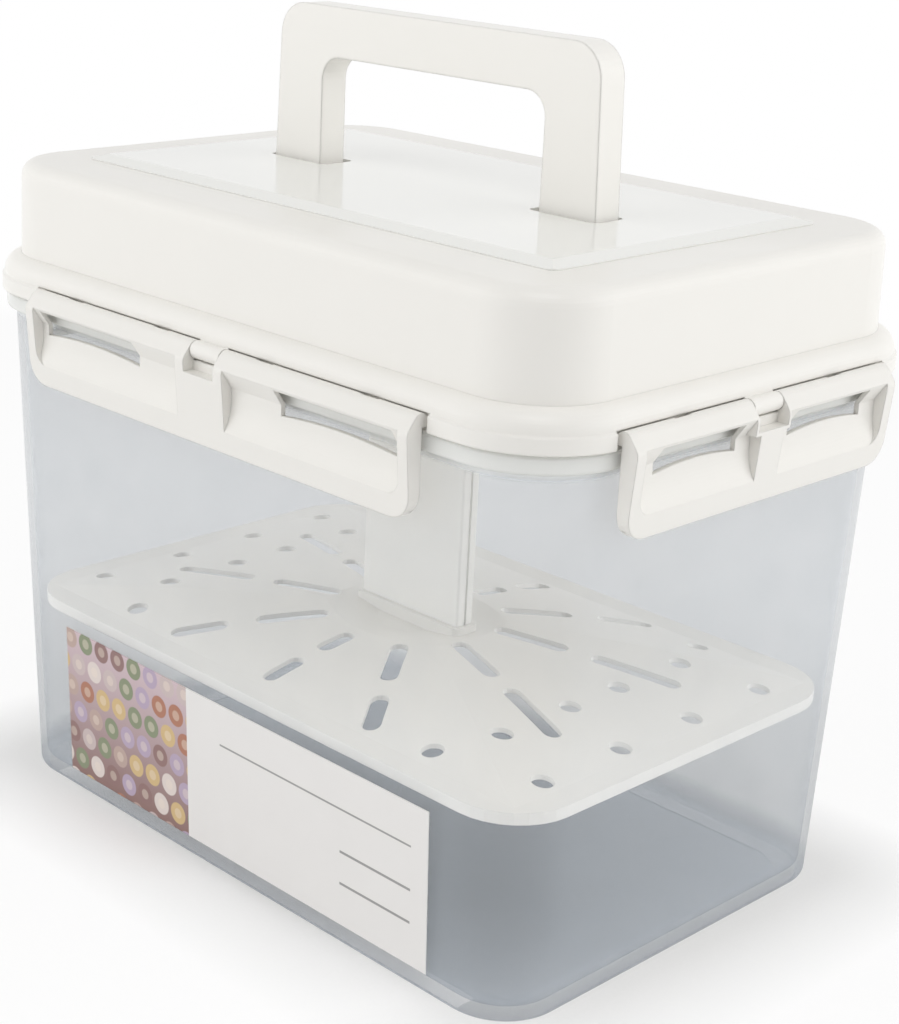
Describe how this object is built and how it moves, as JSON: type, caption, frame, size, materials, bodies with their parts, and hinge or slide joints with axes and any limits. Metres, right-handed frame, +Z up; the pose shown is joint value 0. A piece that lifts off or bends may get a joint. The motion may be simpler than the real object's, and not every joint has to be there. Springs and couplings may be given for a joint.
{
  "type": "fermentation jar",
  "caption": "Rectangular see-through fermentation tub with a tall lid, snap flaps, and a perforated press plate on a column that slides down with the carry handle.",
  "frame": {"origin": "middle of the base, on the surface that the box stands on", "axes": "+X along the long side to the right of the label, +Y from the label's side to the rear, +Z up"},
  "size_m": [0.2512, 0.1756, 0.2482],
  "materials": {
    "tub_clear": "see-through, milky",
    "label_film": "satin film",
    "lid_white": "satin",
    "deck_white": "glossy",
    "flap_white": "satin",
    "handle_white": "satin",
    "inner_white": "satin",
    "press_white": "satin",
    "seal_rubber": "matte"
  },
  "bodies": {
    "tub": {"tub": "tub_clear", "label": "label_film"},
    "lid": {"lid_shell": "lid_white", "deck_plate": "deck_white", "lid_seal": "seal_rubber", "inner_cover": "inner_white", "column_seal": "seal_rubber"},
    "press": {"handle": "handle_white", "handle_yoke": "inner_white", "press_column": "press_white", "press_plate": "press_white"},
    "flap_front": {"latch_front": "flap_white"},
    "flap_rear": {"latch_rear": "flap_white"},
    "flap_left": {"latch_left": "flap_white"},
    "flap_right": {"latch_right": "flap_white"}
  },
  "joints": [
    {"name": "lid_lift", "type": "slide", "parent": "tub", "child": "lid", "axis": [0, 0, 1], "range_m": [0, 0.16]},
    {"name": "press_slide", "type": "slide", "parent": "lid", "child": "press", "axis": [0, 0, -1], "range_m": [0, 0.0303]},
    {"name": "front_flap_hinge", "type": "hinge", "parent": "lid", "child": "flap_front", "pos_m": [0, -0.0831, 0.1631], "axis": [-1, 0, 0], "range_deg": [0, 85]},
    {"name": "rear_flap_hinge", "type": "hinge", "parent": "lid", "child": "flap_rear", "pos_m": [0, 0.0831, 0.1631], "axis": [1, 0, 0], "range_deg": [0, 85]},
    {"name": "left_flap_hinge", "type": "hinge", "parent": "lid", "child": "flap_left", "pos_m": [-0.1209, 0, 0.1631], "axis": [0, 1, 0], "range_deg": [0, 85]},
    {"name": "right_flap_hinge", "type": "hinge", "parent": "lid", "child": "flap_right", "pos_m": [0.1209, 0, 0.1631], "axis": [0, -1, 0], "range_deg": [0, 85]}
  ]
}
